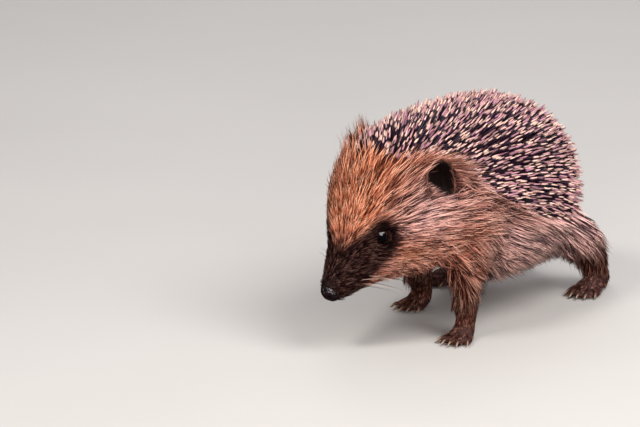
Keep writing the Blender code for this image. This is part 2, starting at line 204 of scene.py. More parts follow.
card.light_linking.receiver_collection = wet
world = bpy.data.worlds.new("studio")
world.use_nodes = True
world.node_tree.nodes["Background"].inputs["Color"].default_value = (0.92, 0.94, 1.0, 1)
world.node_tree.nodes["Background"].inputs["Strength"].default_value = 0.27
world.cycles_visibility.glossy = False
bpy.context.scene.world = world
bpy.context.scene.view_settings.view_transform = "Standard"

lens = bpy.data.cameras.new("camera")
lens.lens, lens.sensor_width = 255.7, 36.0
lens.clip_start, lens.clip_end = 0.05, 20.0
CAMERA_AWAY = 1.5
camera = bpy.data.objects.new("camera", lens)
camera.location = AIM + VIEW_BACK * CAMERA_AWAY
camera.rotation_mode = "QUATERNION"
camera.rotation_quaternion = (-VIEW_BACK).to_track_quat("-Z", "Y")
bpy.context.scene.collection.objects.link(camera)
bpy.context.scene.camera = camera


# ======================================================================== skin
# One hide over the whole animal, from the wet nose to the toes. It lies under the
# coat by the coat's depth and carries the same markings as the hair that grows on it.
def middle(node):
    low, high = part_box(node)
    return (low + high) / 2


# The head's own axes, from where its eyes and nose sit.
EYE_AHEAD, EYE_UP = 23.8, 3.5
NOSE_AHEAD, NOSE_UP = 44.0, -4.2
between_eyes = (middle("eye_left") + middle("eye_right")) / 2
SIDE = (middle("eye_left") - middle("eye_right")).normalized()
to_nose = (middle("nose") - between_eyes).normalized()
above_nose_line = to_nose.cross(SIDE)
above_nose_line *= math.copysign(1, above_nose_line.z)
dip = math.atan2(EYE_UP - NOSE_UP, NOSE_AHEAD - EYE_AHEAD)
AHEAD = to_nose * math.cos(dip) + above_nose_line * math.sin(dip)
UP = above_nose_line * math.cos(dip) - to_nose * math.sin(dip)
HEAD_AT = between_eyes - (AHEAD * EYE_AHEAD + UP * EYE_UP) * MM


def on_head(ahead, side, up_):
    """The place of a point given in millimetres on the head's own axes."""
    return HEAD_AT + (AHEAD * ahead + SIDE * side + UP * up_) * MM


def head_axes(points):
    """Points in metres as millimetres ahead, to the left and up on the head."""
    away = (points - np.array(HEAD_AT)) / MM
    return [away @ np.array(axis) for axis in (AHEAD, SIDE, UP)]


def smooth(low, high, values):
    """Goes smoothly from 0 to 1 as the values go from low to high."""
    t = np.clip((values - low) / (high - low), 0, 1)
    return t * t * (3 - 2 * t)


def unit(vectors):
    """Vectors brought to a length of one."""
    return vectors / np.maximum(np.linalg.norm(vectors, axis=-1, keepdims=True), 1e-12)


def ear_frame(sign):
    """The ear's own axes: across its opening, the way it opens, and up to its tip."""
    opens = (AHEAD * 0.56 + SIDE * (0.78 * sign) + UP * 0.30).normalized()
    tip = UP * 0.93 + SIDE * (0.25 * sign) - AHEAD * 0.30
    tip = (tip - opens * tip.dot(opens)).normalized()
    axes = Matrix((opens.cross(tip), opens, tip)).transposed().to_4x4()
    axes.translation = on_head(0.2, 19.9 * sign, 7.3)
    return axes


def in_ear(places, sign):
    """Places in millimetres on the ear's own axes."""
    back = np.array(ear_frame(sign).inverted())
    return (places @ back[:3, :3].T + back[:3, 3]) / MM


EAR_RADII = (4.2, 2.75, 7.0)  # half its width, its depth behind and half its height
EAR_RIM, EAR_HOLLOW = 0.9, 2.3  # how far its rim stands up and its cup goes down
EAR_SQUARE = 2.6  # 2 for an oval opening, more for a squarer one


def from_ear_middle(local):
    """How far places are from the middle of an ear's opening, 1 at its rim."""
    across, along_ = np.abs(local[:, 0] / EAR_RADII[0]), np.abs(local[:, 2] / EAR_RADII[2])
    return (across**EAR_SQUARE + along_**EAR_SQUARE) ** (1 / EAR_SQUARE)


FLESH = sorted(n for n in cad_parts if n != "nose" and not n.startswith("eye_"))
JOIN_GROW = 0.22 * MM  # closes the thin gaps between neighbouring parts
VOXEL = 0.62 * MM
hide = bmesh.new()
hull_faces, hull_points, hull_part = [], [], []
for index, name in enumerate(FLESH):
    part = bmesh.new()
    part.from_mesh(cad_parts[name].data)
    bmesh.ops.remove_doubles(part, verts=part.verts, dist=1e-6)
    part.normal_update()
    base = len(hull_points)
    hull_points += [v.co.copy() for v in part.verts]
    hull_faces += [[base + v.index for v in f.verts] for f in part.faces]
    hull_part += [index] * len(part.faces)
    for vert in part.verts:
        vert.co += vert.normal * JOIN_GROW
    joined = bpy.data.meshes.new("joined")
    part.to_mesh(joined)
    part.free()
    hide.from_mesh(joined)
    bpy.data.meshes.remove(joined)
solids = BVHTree.FromPolygons(hull_points, hull_faces)

leather = Finish("hide", Roughness=0.62, Specular_IOR_Level=0.35)
skin = piece_from(hide, "skin", leather)
voxels = skin.modifiers.new("one_hide", "REMESH")
voxels.mode, voxels.voxel_size = "VOXEL", VOXEL
even = bpy.data.meshes.new_from_object(skin.evaluated_get(bpy.context.evaluated_depsgraph_get()))
skin.modifiers.clear()
skin.data = even
hide = bmesh.new()
hide.from_mesh(even)
bmesh.ops.triangulate(hide, faces=hide.faces)
hide.to_mesh(even)
hide.free()


def read(items, key, width, kind=np.float32):
    values = np.zeros(len(items) * width, kind)
    items.foreach_get(key, values)
    return values.reshape(-1, width) if width > 1 else values


def in_order(corners):
    """A mesh's triangles in one fixed order, so that each run strews the same hairs."""
    lowest = corners.argmin(1)[:, None]
    corners = np.take_along_axis(corners, (lowest + np.arange(3)) % 3, 1)
    return corners[np.lexsort(corners.T[::-1])]


points = read(even.vertices, "co", 3)
order = np.lexsort(points.T)
triangles = in_order(np.argsort(order)[read(even.polygons, "vertices", 3, np.int32)])
even.clear_geometry()
even.from_pydata(points[order].tolist(), [], triangles.tolist(), shade_flat=False)
edges = read(even.edges, "vertices", 2, np.int32)
points = points[order].astype(float)
ends = np.concatenate([edges[:, 0], edges[:, 1]])
others = np.concatenate([edges[:, 1], edges[:, 0]])
valence = np.maximum(np.bincount(ends, minlength=len(points)), 1)


def around(values, rounds=1):
    """The mean over each point's neighbours, taken so many times."""
    for _ in range(rounds):
        if values.ndim == 1:
            values = np.bincount(ends, values[others], len(points)) / valence
        else:
            values = np.stack([around(values[:, k]) for k in range(3)], 1)
    return values


def relaxed(places, rounds, pull=0.5, push=-0.52):
    """Evens out a surface without shrinking it."""
    for _ in range(rounds):
        for step in (pull, push):
            places = places + (around(places) - places) * step
    return places


def normals_of(places):
    a, b, c = (places[triangles[:, k]] for k in range(3))
    faces = np.cross(b - a, c - a)
    total = np.stack([
        sum(np.bincount(triangles[:, k], faces[:, axis], len(places)) for k in range(3)) for axis in range(3)
    ], 1)
    return unit(total)


points = relaxed(points, 5)

# Which part of the body each point of the hide belongs to.
part_of = np.array([hull_part[solids.find_nearest(Vector(p))[2]] for p in points])


def those(*names):
    """The numbers of the parts of flesh that have one of these in their names."""
    return [index for index, whole in enumerate(FLESH) if any(name in whole for name in names)]


def near_parts(rounds, *names):
    """1 on the named parts, fading to 0 over their edges."""
    return around(np.isin(part_of, those(*names)).astype(float), rounds)


# The coat bridges the creases between the body and the limbs.
body = near_parts(12, "neck", "trunk", "mantle", "upper_arm", "thigh")
for _ in range(3):
    softer = around(points, 60)
    lift = np.einsum("ij,ij->i", softer - points, normals_of(points))
    points = points + normals_of(points) * (np.clip(lift, 0, None) * body)[:, None]
    points = relaxed(points, 2)
outer = points.copy()
envelope = BVHTree.FromPolygons(points.tolist(), triangles.tolist())

# The rows of the spiny mantle are not in the hide below it.
rough = near_parts(8, "mantle")
for _ in range(80):
    points = points + (around(points) - points) * (rough * 0.9)[:, None]
points = points + (relaxed(points, 25) - points) * body[:, None]

# The coat's depth at each point, less where the body is thin and near eyes and nose.
outer_normals = normals_of(points)
thick = np.full(len(points), 60.0)
for index, (at, normal) in enumerate(zip(points, outer_normals)):
    hit = envelope.ray_cast(Vector(at - normal * 0.05 * MM), Vector(-normal))
    if hit[0] is not None:
        thick[index] = hit[3] / MM

COAT_DEPTH = {
    "head": 4.0, "snout": 0.9, "lower_jaw": 1.3, "ear_": 0.2, "neck": 5.0, "mantle": 8.6, "trunk": 5.0,
    "tail": 0.6, "upper_arm": 3.4, "forearm": 0.2, "foot": 0.2, "thigh": 2.4, "shank": 1.2,
}
depth_by_part = [next(d for key, d in COAT_DEPTH.items() if key in name) for name in FLESH]
depth = np.array(depth_by_part)[part_of]
ahead, side, high = head_axes(points)
on_face = np.isin(part_of, those("head"))
FACE_DEPTH = ((-6, 7.6), (2, 7.0), (9, 5.2), (16, 3.6), (23, 2.1), (30, 1.2), (37, 0.7))
depth[on_face] = np.interp(ahead[on_face], *zip(*FACE_DEPTH))
belly = smooth(22, 10, points[:, 2] / MM) * np.isin(part_of, those("trunk", "neck"))
depth -= belly * 2.0
for _ in range(90):
    depth = depth * 0.3 + around(depth) * 0.7
ear_part = np.isin(part_of, those("ear_"))
foot_part = np.isin(part_of, those("_foot"))
leg_part = np.isin(part_of, those("fore_", "hind_", "tail"))
eye_gap = np.full(len(points), 99.0)
for eye in ("eye_left", "eye_right"):
    eye_gap = np.minimum(eye_gap, np.linalg.norm(points - np.array(middle(eye)), axis=1) / MM)
depth *= 0.12 + 0.88 * smooth(2.6, 7.0, eye_gap)
nose_gap = np.linalg.norm(points - np.array(middle("nose")), axis=1) / MM
depth *= 0.15 + 0.85 * smooth(2.5, 7.0, nose_gap)
for sign in (1, -1):
    local = (in_ear(points, sign) - np.array((0, 1.2, 0))) / np.array((4.7, 5.4, 7.6))
    depth *= 0.04 + 0.96 * smooth(1.0, 1.9, np.linalg.norm(local, axis=1))
depth = np.minimum(depth, thick * np.where(ear_part, 0.08, np.where(foot_part, 0.1, 0.33)))
for _ in range(6):
    depth = depth * 0.4 + around(depth) * 0.6

# The hide is pressed in by that depth, in small steps, and evened out between them.
PRESSES = 12
for _ in range(PRESSES):
    points = points - normals_of(points) * (depth / PRESSES * MM)[:, None]
    fresh = relaxed(points, 1)
    still = (ear_part | foot_part)[:, None]
    points = np.where(still, points * 0.6 + fresh * 0.4, fresh)
for _ in range(4):
    softer = around(points)
    points = np.where(still, points, points * 0.5 + softer * 0.5)
seam = around(leg_part.astype(float), 24)  # where a leg leaves the body
seam = np.clip(4 * seam * (1 - seam) + body, 0, 1)[:, None]
for _ in range(3):
    points = points + (relaxed(points, 16) - points) * seam

# The mouth closes in a fold along the jaw.
MOUTH_DEEP, FURROW_DEEP = 0.7, 0.6
ahead, side, high = head_axes(points)
lip = np.interp(ahead, (12, 14, 20, 32, 44), (-17, -15, -12.5, -9.0, -8.4))
in_mouth = smooth(12, 17, ahead) * smooth(46, 43, ahead) * np.exp(-(((high - lip) / 0.55) ** 2))
points = points - normals_of(points) * (in_mouth * MOUTH_DEEP * MM)[:, None]

# Shallow furrows part the five toes of each foot.
FEET = {
    "fore_left": ((16.76, -18.516), -6, 12.5, 9.0, 5.0),
    "fore_right": ((-14.64, 6.484), 4, 12.5, 9.0, 5.0),
    "hind_left": ((21.86, 60.484), -8, 22.0, 9.5, 5.5),
    "hind_right": ((-21.14, 45.484), 10, 22.0, 9.5, 5.5),
}
TOES_FROM = 0.72  # where the toes part, as a share of the palm's length
furrow = np.zeros(len(points))
for heel, turn, long_, wide, toe in FEET.values():
    ahead_ = np.array((math.sin(math.radians(turn)), -math.cos(math.radians(turn))))
    across_ = np.array((-ahead_[1], ahead_[0]))
    from_heel = points[:, :2] / MM - np.array(heel)
    down_foot, over_foot = from_heel @ ahead_, from_heel @ across_
    spread = np.interp(down_foot, ((long_ - toe) * TOES_FROM, long_), (0.30, 0.50)) * wide
    for between in (-0.75, -0.25, 0.25, 0.75):
        line = np.exp(-(((over_foot - between * spread) / 0.42) ** 2))
        on_toes = smooth((long_ - toe) * TOES_FROM, long_ - toe * 0.5, down_foot)
        on_toes = on_toes * (down_foot < long_ + 2)
        furrow = np.maximum(furrow, line * on_toes * foot_part)
points = points - normals_of(points) * (furrow * FURROW_DEEP * MM)[:, None]
depth = np.maximum(np.einsum("ij,ij->i", outer - points, normals_of(points)) / MM, 0.05)

# The way hair stands is smoother than the hide below it, and smoothest by the ears.
by_ear = np.zeros(len(points))
for sign in (1, -1):
    by_ear = np.maximum(by_ear, smooth(17, 10, np.linalg.norm(in_ear(points, sign), axis=1)))
stand = around(normals_of(points), 25)
calm = around(stand, 220)
stand = unit(stand) * (1 - by_ear)[:, None] + unit(calm) * by_ear[:, None]


def markings(places):
    """The animal's markings, each from 0 to 1, at places in metres. The pale one also holds a painted sheen
    by each temple.
    """
    ahead, side, high = head_axes(places)
    _, y, z = places.T / MM
    eye = np.array((26.2, 12.0, 4.2))
    tip = np.array((44.0, 2.0, -3.0))
    away = np.stack([ahead, np.abs(side), high], 1)
    along = np.clip((away - eye) @ (tip - eye) / ((tip - eye) @ (tip - eye)), 0, 1)
    from_stripe = np.linalg.norm(away - (eye + along[:, None] * (tip - eye)), axis=1)
    dark = np.maximum(smooth(6.6, 3.8, from_stripe - 2.6 * along), smooth(31.0, 36.5, ahead + high * 0.25))
    on_head_ = smooth(-12, 0, ahead)
    warm = on_head_ * smooth(-2, 9, high) * smooth(17, 6, np.abs(side))
    warm = np.maximum(warm, on_head_ * 0.45 * smooth(-1, -9, high) * smooth(-4, 8, ahead))
    below_eye = np.exp(-(((ahead - 23) / 6) ** 2 + ((np.abs(side) - 14) / 6) ** 2 + ((high + 4) / 4) ** 2))
    warm = np.maximum(warm, below_eye * 0.9)
    dark = np.maximum(dark, below_eye * 0.4)
    # Painted sheen: a pale lilac patch between each eye and ear stands in for light catching the fur there.
    # It joins the coat's own pale parts on the flank.
    painted_sheen = np.exp(-(((ahead - 14) / 8) ** 2 + ((np.abs(side) - 18) / 7) ** 2 + ((high - 5) / 5.5) ** 2))
    pale = np.maximum(painted_sheen * 0.8, (1 - on_head_) * smooth(-8, 14, y) * smooth(12, 20, z) * 0.9)
    pale = np.maximum(pale, (1 - on_head_) * smooth(43, 33, z) * smooth(-30, -14, y) * smooth(11, 17, z))
    brow = on_head_ * smooth(6, 12, np.abs(side)) * smooth(2, 8, high) * 0.45
    shoulder = (1 - on_head_) * smooth(31, 42, z) * smooth(2, -14, y) * 0.4
    under = np.maximum(smooth(13, 6, z) * (1 - on_head_), brow + shoulder)
    return {"dark": dark, "warm": warm, "pale": pale, "under": under}


FUR = {
    "flank": linear(180, 122, 108), "warm": linear(184, 104, 70), "pale": linear(226, 184, 180),
    "dark": linear(44, 18, 15), "leg": linear(92, 50, 38), "tip": linear(236, 196, 180),
    "warm_tip": linear(238, 190, 156), "bed": linear(40, 20, 30),
}


def fur_colour(finish):
    """The coat's ground colour from its markings."""
    ground = finish.mix(FUR["flank"], FUR["warm"], finish.attribute("warm"))
    ground = finish.mix(ground, FUR["pale"], finish.attribute("pale"))
    ground = finish.mix(ground, FUR["leg"], finish.attribute("leg"))
    return finish.mix(ground, FUR["dark"], finish.attribute("dark"))


def write(mesh, name, values):
    mesh.attributes.new(name, "FLOAT", "POINT").data.foreach_set("value", values.astype(np.float32))


def quilled(places):
    """1 where the coat is of quills, 0 where it is of hair."""
    ahead, side, _ = head_axes(places)
    x, y, z = places.T / MM
    turned = y + 0.268 * x * smooth(0, -25, y)
    edge = np.interp(
        turned,
        (-60, -40, -33.3, -24.6, -21.6, -8.9, -0.4, 11.7, 18.9, 35, 60),
        (58, 58, 62.7, 61.5, 53.4, 45, 38.5, 30.5, 27.4, 23, 21),
    )
    hairline = np.interp(np.abs(side), (0, 6, 10, 13, 16, 20, 26), (1.5, 3.0, 3.0, 0.8, -1.6, -6.2, -15))
    return smooth(0.2, 3.4, z - edge) * smooth(-2.6, 2.6, hairline - ahead)


marks = markings(points)
# The mouth fold and the toe furrows are painted dark as well: painted shade in these creases.
marks["dark"] = np.maximum(marks["dark"], np.maximum(in_mouth, furrow))
marks["leg"] = np.maximum(leg_part * smooth(29, 20, outer[:, 2] / MM), marks["under"])
marks["leg"][foot_part] = 1.0
marks["leg"] = around(marks["leg"], 12)
marks["ear"] = around(ear_part.astype(float), 3)
marks["bare"] = foot_part.astype(float)
marks["dark"] = np.maximum(marks["dark"], smooth(7.0, 5.0, nose_gap))
marks["quilled"] = quilled(outer)

# Each ear is a round cup with a soft rim, dark and nearly bare within.
for sign in (1, -1):
    local = in_ear(points, sign)
    wide = from_ear_middle(local)
    cup = EAR_RIM * (1 + wide**3) - EAR_HOLLOW * (1 - wide**2.6)
    wall = (cup - EAR_RADII[1] * np.sqrt(np.clip(1 - wide**2, 0, 1))) / 2
    inside = (wide < 0.985) & (local[:, 1] > wall) & (local[:, 1] < 8)
    local[inside, 1] = wall[inside]
    forth = np.array(ear_frame(sign))
    points[inside] = local[inside] * MM @ forth[:3, :3].T + forth[:3, 3]
hide = bmesh.new()
hide.from_mesh(even)
for vert, at in zip(hide.verts, points):
    vert.co = at
body_points = len(points)
for sign in (1, -1):
    faces_before = len(hide.faces)
    made = bmesh.ops.create_uvsphere(hide, u_segments=40, v_segments=28, radius=1.0)["verts"]
    bmesh.ops.rotate(hide, verts=made, matrix=Matrix.Rotation(math.pi / 2, 3, "X"))
    for vert in made:
        x, y, z = vert.co
        wide = math.hypot(x, z)
        broad = wide / max((abs(x) ** EAR_SQUARE + abs(z) ** EAR_SQUARE) ** (1 / EAR_SQUARE), 1e-6)
        x, z = x * broad, z * broad
        if y > 0:
            squeeze = 0.80 + 0.20 * wide**7
            fold = 0.45 * math.exp(-(((x * sign + 0.15) / 0.13) ** 2)) * (1 - wide)
            hollow = EAR_RIM - EAR_HOLLOW * (1 - wide**2.6) + fold
            vert.co = (x * squeeze * EAR_RADII[0], hollow, z * squeeze * EAR_RADII[2])
        else:
            vert.co = (x * EAR_RADII[0], y * EAR_RADII[1] + EAR_RIM * wide**3, z * EAR_RADII[2])
    bmesh.ops.transform(hide, matrix=ear_frame(sign) @ Matrix.Scale(MM, 4), verts=made)
    hide.faces.ensure_lookup_table()
    bmesh.ops.recalc_face_normals(hide, faces=hide.faces[faces_before:])
bmesh.ops.triangulate(hide, faces=hide.faces)
hide.to_mesh(even)
hide.free()
points = read(even.vertices, "co", 3).astype(float)
triangles = in_order(read(even.polygons, "vertices", 3, np.int32))
skin_normals = normals_of(points)
ears = points[body_points:]
ear_index = np.where(ears[:, 0] > 0, FLESH.index("ear_left"), FLESH.index("ear_right"))
part_of = np.concatenate([part_of, ear_index])
depth = np.concatenate([depth, np.full(len(ears), 0.25)])
stand = np.concatenate([stand, skin_normals[body_points:]])
by_ear = np.concatenate([by_ear, np.zeros(len(ears))])
outer = np.concatenate([outer, ears])
eye_gap, nose_gap = (np.concatenate([gap, np.full(len(ears), 30.0)]) for gap in (eye_gap, nose_gap))
local = np.where((ears[:, :1] > 0), in_ear(ears, 1), in_ear(ears, -1))
within = smooth(1.02, 0.86, from_ear_middle(local))
within *= local[:, 1] > -1.6
for key, values in markings(ears).items():
    marks[key] = np.concatenate([marks[key], values * (key == "pale") * 0.0])
for key, values in (("leg", 0.5), ("ear", 0.35 + 0.65 * within), ("bare", 0), ("quilled", 0)):
    marks[key] = np.concatenate([marks[key], np.zeros(len(ears)) + values])
for name in ("dark", "warm", "pale", "leg", "ear", "bare", "quilled"):
    write(even, name, marks[name])

ground = leather.mix(fur_colour(leather), FUR["bed"], leather.attribute("quilled") * 0.85)
ground = leather.mix(ground, linear(26, 14, 11), leather.attribute("ear"))
ground = leather.mix(ground, linear(88, 58, 54), leather.attribute("bare") * 0.8)
grain = leather.noise(900.0, 4.0)
shade = leather.mix((0.26, 0.24, 0.24), (0.6, 0.58, 0.58), grain)
leather.feed("Base Color", leather.mix(ground, shade, 1.0, "MULTIPLY"))
leather.bump(grain, 0.25 * MM, 0.6)
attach(skin, "root")
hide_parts(*FLESH)


# ======================================================================== eyes
# Round, wet, nearly black eyes that bulge from dark sockets. A thin bare lid runs
# round each, thicker above, drawn out to a corner ahead and behind.
EYE_RADIUS = 2.45 * MM
jelly = Finish("eye_jelly", Roughness=0.05, Specular_IOR_Level=0.5)
ring = jelly.attribute("ring")
jelly.feed("Base Color", jelly.mix(linear(5, 4, 5), linear(34, 18, 12), ring.ramp(0.6, 0.95)))
lid_hide = Finish("lid_hide", Roughness=0.5, Specular_IOR_Level=0.3)
lid_hide.feed("Base Color", lid_hide.mix(linear(12, 7, 8), linear(30, 18, 18), lid_hide.noise(1500.0)))
for sign, label in ((1, "left"), (-1, "right")):
    eye_at = middle("eye_" + label) + UP * 0.6 * MM
    slope = math.radians(32)
    gaze = (SIDE * (sign * math.cos(slope)) + AHEAD * math.sin(slope) + UP * 0.1).normalized()
    along = (AHEAD - gaze * AHEAD.dot(gaze)).normalized()
    lift = gaze.cross(along)
    lift *= math.copysign(1, lift.dot(UP))
    socket = Matrix((along, lift, gaze)).transposed().to_4x4()
    socket.translation = eye_at
    bm = bmesh.new()
    bmesh.ops.create_uvsphere(bm, u_segments=48, v_segments=32, radius=EYE_RADIUS)
    for vert in bm.verts:
        vert.co.z += 0.16 * MM * max(vert.co.z / EYE_RADIUS, 0) ** 6
    rings = [min(math.hypot(v.co.x, v.co.y) / EYE_RADIUS, 1) for v in bm.verts]
    bmesh.ops.transform(bm, matrix=socket, verts=bm.verts)
    bmesh.ops.recalc_face_normals(bm, faces=bm.faces)
    ball = piece_from(bm, f"eyeball_{label}", jelly)
    wet.objects.link(ball)
    write(ball.data, "ring", np.array(rings))
    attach(ball, "root")
    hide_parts("eye_" + label)

    bm = bmesh.new()
    bmesh.ops.create_circle(bm, segments=10, radius=1.0)
    bmesh.ops.rotate(bm, verts=bm.verts, matrix=Matrix.Rotation(math.pi / 2, 3, "X"))
    bmesh.ops.translate(bm, verts=bm.verts, vec=(8, 0, 0))
    bmesh.ops.spin(
        bm, geom=bm.verts[:] + bm.edges[:], axis=(0, 0, 1), cent=(0, 0, 0), angle=math.tau, steps=56,
        use_merge=True,
    )
    bmesh.ops.remove_doubles(bm, verts=bm.verts, dist=1e-4)
    for vert in bm.verts:
        turn = math.atan2(vert.co.y, vert.co.x)
        fat = (0.27 + 0.08 * max(math.sin(turn), 0)) * MM
        out_, over = (math.hypot(vert.co.x, vert.co.y) - 8) * fat, vert.co.z * fat
        corner = abs(math.cos(turn)) ** 10
        reach = (2.34 + 0.42 * corner) * MM + out_
        height = math.sin(turn) * reach * 0.96 + 0.08 * MM
        vert.co = (math.cos(turn) * reach, height, (0.74 - 0.45 * corner) * MM + over)
    bmesh.ops.transform(bm, matrix=socket, verts=bm.verts)
    bmesh.ops.recalc_face_normals(bm, faces=bm.faces)
    lid = piece_from(bm, f"eyelid_{label}", lid_hide)
    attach(lid, "root")


# ======================================================================== nose
# A wet black pad at the end of the snout, finely pebbled, with a groove down its
# middle and a comma of a nostril to each side.
nose_at = middle("nose")
pad = Finish("wet_pad", Specular_IOR_Level=0.5)
pebbles = pad.node("ShaderNodeTexVoronoi", {}, {"Vector": pad.places(), "Scale": 1500.0})
pad.feed("Base Color", pad.mix(linear(9, 6, 7), linear(26, 16, 17), pad.noise(1400.0)))
pad.feed("Roughness", pad.noise(2200.0) * 0.3 + 0.05)
pad.bump(1.0 - pebbles, 0.3 * MM, 1.0)
bm = bmesh.new()
bmesh.ops.create_icosphere(bm, subdivisions=5, radius=1.0)
for vert in bm.verts:
    x, y, z = vert.co
    groove = math.exp(-((x / 0.10) ** 2)) * max(y, 0) * 0.16
    hole = -(((abs(x) - 0.46 - 0.12 * z) / 0.13) ** 2) - ((z + 0.08) / 0.26) ** 2
    nostril = math.exp(hole) * 0.55 * max(y, 0)
    rim = math.exp(-(((abs(x) - 0.42) / 0.3) ** 2) - ((z + 0.05) / 0.45) ** 2) * 0.12 * max(y, 0)
    pebble = noise.voronoi(vert.co * 5.5)[0][0]
    vert.co *= 1 - groove - nostril + rim - pebble * 0.10
turn = Matrix((SIDE * 3.6, AHEAD * 2.9, UP * 3.5)).transposed().to_4x4() @ Matrix.Scale(MM, 4)
turn.translation = nose_at - UP * 0.4 * MM
bmesh.ops.transform(bm, matrix=turn, verts=bm.verts)
bmesh.ops.recalc_face_normals(bm, faces=bm.faces)
nose = piece_from(bm, "nose_pad", pad)
wet.objects.link(nose)
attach(nose, "root")
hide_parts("nose")


# ======================================================================== coat
# Hair and quills are grown from the hide along the lie of the coat. Each is a slim
# closed body. Many of a kind are joined in one piece.
nose_root = np.array(on_head(47, 0, -4.5))
brow_root = np.array(on_head(17, 0, -3))


def flat_on(ways, normals):
    """Ways turned to lie flat on the hide that has these normals."""
    return unit(ways - normals * np.einsum("ij,ij->i", ways, normals)[:, None])


def lie(places, normals, quills):
    """The way the coat lies: back from the nose, over the brow and down the flank."""
    z = places[:, 2] / MM
    ahead, side, high = head_axes(places)
    back = smooth(14, -8, ahead)
    from_nose = (places - nose_root) / MM
    from_nose[:, 2] *= np.interp(high, (-8, 2, 12), (0.05, 0.25, 0.5))
    from_brow = (places - brow_root) / MM * np.array((1, 1, 0.8 if quills else 0.35))
    way = unit(from_nose) * (1 - back)[:, None] + unit(from_brow) * back[:, None]
    way[:, 2] -= np.interp(z, (10, 25, 34, 44, 60), (0.9, 0.85, 0.5, 0.28, 0.0)) * back
    return flat_on(way, normals)


def swayed(ways, normals, amount):
    """Turns each hair a little its own way, still flat to the hide."""
    return flat_on(ways + rng.normal(0, amount, ways.shape), normals)


def tips_of(roots, ways, normals, length, rise):
    """Where straight hairs end that are so long and stand so high."""
    level = np.sqrt(np.maximum(length**2 - rise**2, 0.01))
    return roots + (ways * level[:, None] + normals * rise[:, None]) * MM


def curves_of(roots, ways, normals, length, rise, t, bend, sunk):
    """Hairs as curves from just below the hide, a place at each share t of their length."""
    level = np.sqrt(np.maximum(length**2 - rise**2, 0.01))
    return (
        roots[:, None, :] - normals[:, None, :] * sunk * MM
        + ways[:, None, :] * (level[:, None] * t)[..., None] * MM
        + normals[:, None, :] * (rise[:, None] * bend)[..., None] * MM
    )


hide_tree = BVHTree.FromPolygons(points.tolist(), triangles.tolist())


def outside(places, surface=envelope):
    """How far places stand out of a surface, the solid body's or the hide's, in millimetres."""
    gaps = np.zeros(len(places))
    for index, at in enumerate(places):
        near, normal, _, gap = surface.find_nearest(Vector(at))
        gaps[index] = math.copysign(gap, (Vector(at) - near).dot(normal)) / MM
    return gaps


def in_front_of_ear(starts, ends_, reach, low=-9.0):
    """Whether a hair from start to end would cross the opening of an ear."""
    over = np.zeros(len(starts), bool)
    for sign in (1, -1):
        for share in np.linspace(0, 1, 9):
            local = in_ear(starts + (ends_ - starts) * share, sign)
            hangs_below = local[:, 2] < low + 0.7 * local[:, 0] * sign
            before = (local[:, 1] > -2.0) & (local[:, 1] < 9)
            over |= (from_ear_middle(local) < reach) & before & ~hangs_below
    return over


corner = points[triangles]
square_to = np.cross(corner[:, 1] - corner[:, 0], corner[:, 2] - corner[:, 0])
face_area = np.linalg.norm(square_to, axis=1) / 2 / MM**2
face_middle = corner.mean(1)
face_part = part_of[triangles[:, 0]]


def parts(*names):
    """Whether each face of the hide is on one of these parts."""
    return np.isin(face_part, those(*names))


def scatter(chance, count):
    """Roots strewn over the hide: faces, and shares of their corners."""
    weight = face_area * chance
    faces = rng.choice(len(weight), count, p=weight / weight.sum())
    a, b = rng.random((2, count))
    flip = a + b > 1
    a, b = np.where(flip, 1 - a, a), np.where(flip, 1 - b, b)
    return faces, np.stack([1 - a - b, a, b], 1)


def at_roots(values, faces, shares):
    picked = values[triangles[faces]]
    return np.einsum("ij,ij...->i...", shares, picked)


PATCH = 0.003


def patches(faces, shares, ground):
    """A small patch for each hair on an unwrap of the hide it grows from."""
    chosen = np.union1d(np.flatnonzero(ground), faces)
    kept, local = np.unique(triangles[chosen], return_inverse=True)
    mesh = bpy.data.meshes.new("unwrapped")
    mesh.from_pydata(points[kept], [], local.reshape(-1, 3))
    cover = bpy.data.objects.new("unwrapped", mesh)
    bpy.context.scene.collection.objects.link(cover)
    bpy.context.view_layer.objects.active = cover
    cover.select_set(True)
    bpy.ops.object.mode_set(mode="EDIT")
    bpy.ops.mesh.select_all(action="SELECT")
    bpy.ops.uv.smart_project(angle_limit=math.radians(70), island_margin=0.004)
    bpy.ops.object.mode_set(mode="OBJECT")
    flat = read(mesh.uv_layers[0].data, "uv", 2).reshape(-1, 3, 2)
    bpy.data.objects.remove(cover)
    bpy.data.meshes.remove(mesh)
    place = np.zeros(len(triangles), int)
    place[chosen] = np.arange(len(chosen))
    where = np.einsum("ij,ijk->ik", shares, flat[place[faces]])
    cells = np.clip((where / PATCH).astype(int), 0, int(1 / PATCH) - 1)
    taken, result = set(), np.zeros((len(cells), 2))
    rim = [sorted(
        {(i, j) for i in range(-r, r + 1) for j in range(-r, r + 1) if max(abs(i), abs(j)) == r},
        key=lambda c: c[0] ** 2 + c[1] ** 2) for r in range(60)]
    last = int(1 / PATCH) - 1
    for index, (u, v) in enumerate(cells.tolist()):
        free = next(
            ((u + i, v + j) for ring_ in rim for i, j in ring_
             if 0 <= u + i <= last and 0 <= v + j <= last and (u + i, v + j) not in taken),
            (u, v),
        )
        taken.add(free)
        result[index] = free
    return result * PATCH


